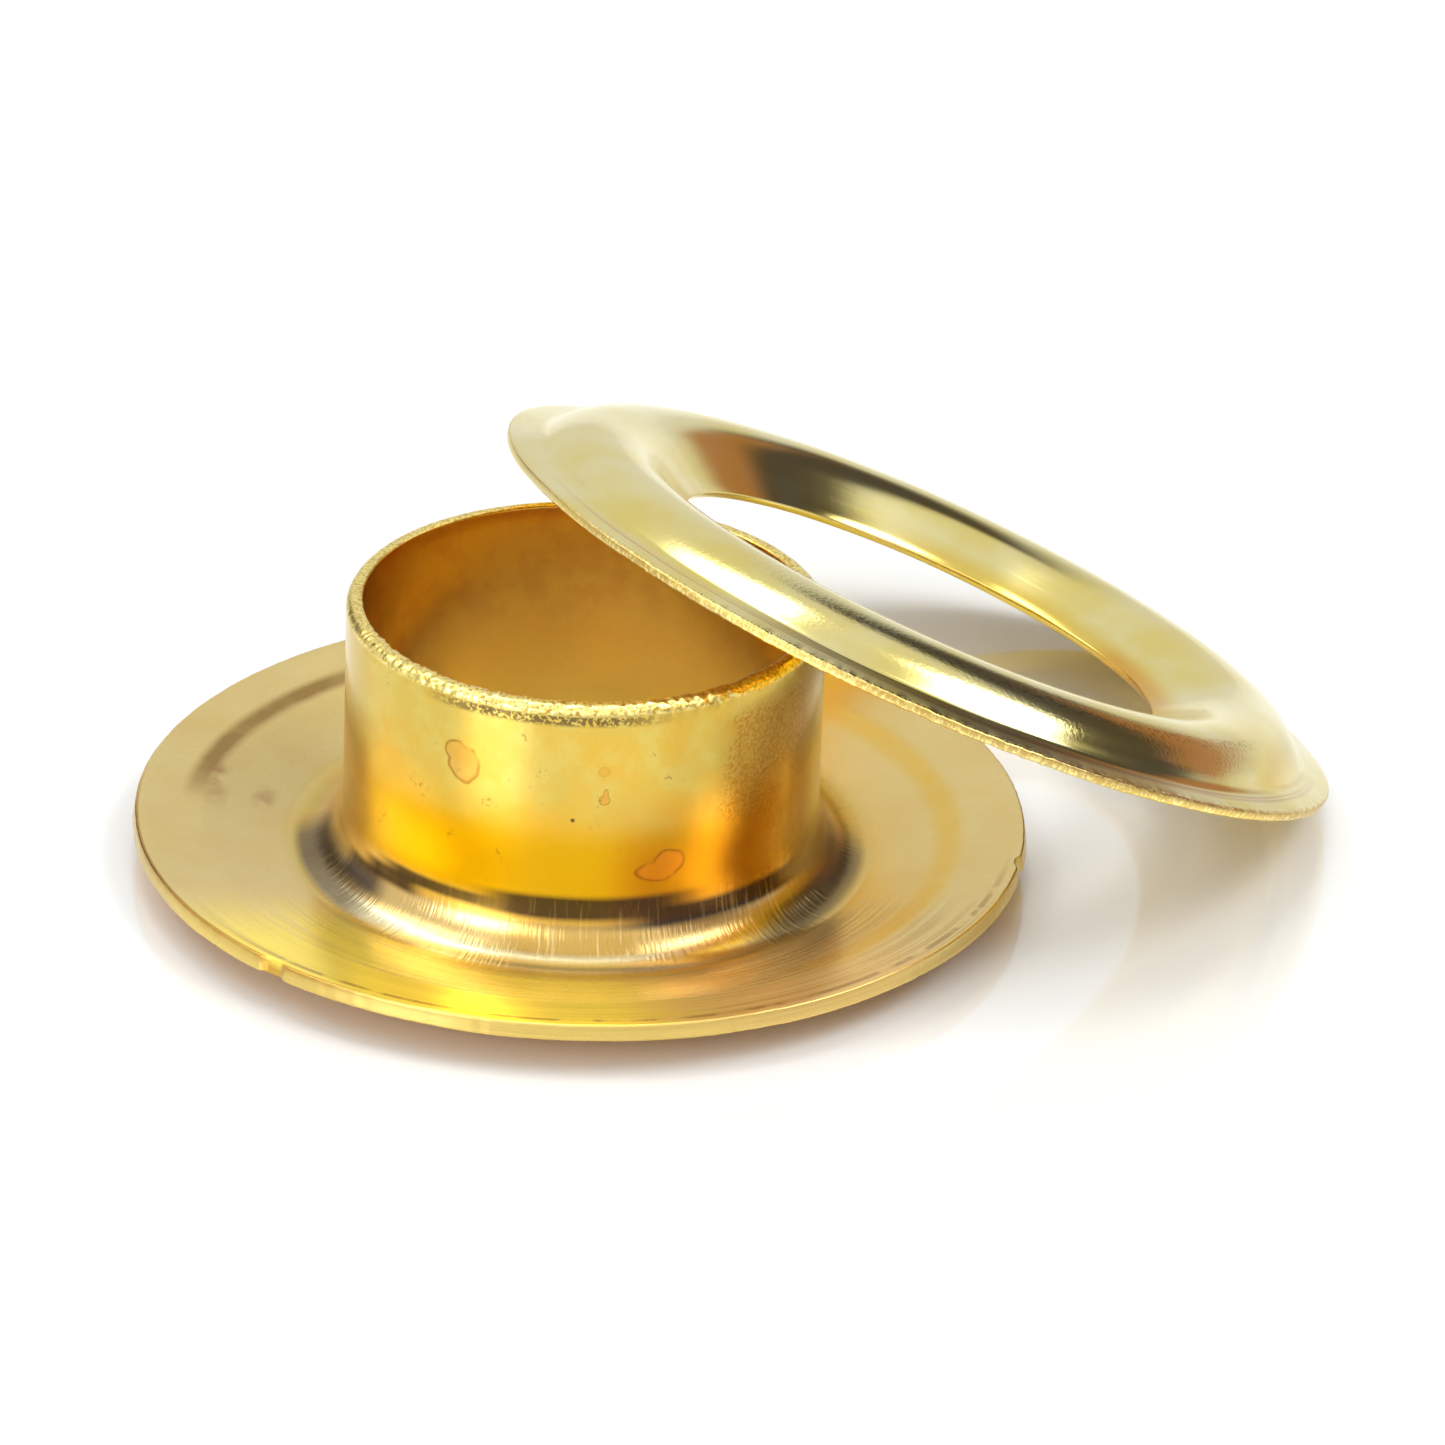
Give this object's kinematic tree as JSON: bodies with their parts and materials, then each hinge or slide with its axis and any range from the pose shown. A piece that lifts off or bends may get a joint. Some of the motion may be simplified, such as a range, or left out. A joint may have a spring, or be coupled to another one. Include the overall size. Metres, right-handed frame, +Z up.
{
  "type": "grommet eyelet",
  "caption": "Sheet brass grommet with an open barrel, rounded foot and dished flange, and the domed ring washer that sets over it, leaning on its rim.",
  "frame": {"origin": "middle of the set's footprint, on the surface that both pieces stand on", "axes": "+Z up, along the barrel's axis; +X to the right and +Y away as the set is seen with the barrel on the left and the washer leaning away to the right and back"},
  "size_m": [0.0272, 0.0242, 0.0089],
  "materials": {
    "grommet_brass": "bright drawn brass with light tarnish, stains and drawing marks",
    "washer_brass": "bright stamped brass with a burred edge"
  },
  "bodies": {
    "root": {"grommet": "grommet_brass", "washer": "washer_brass"}
  },
  "joints": []
}
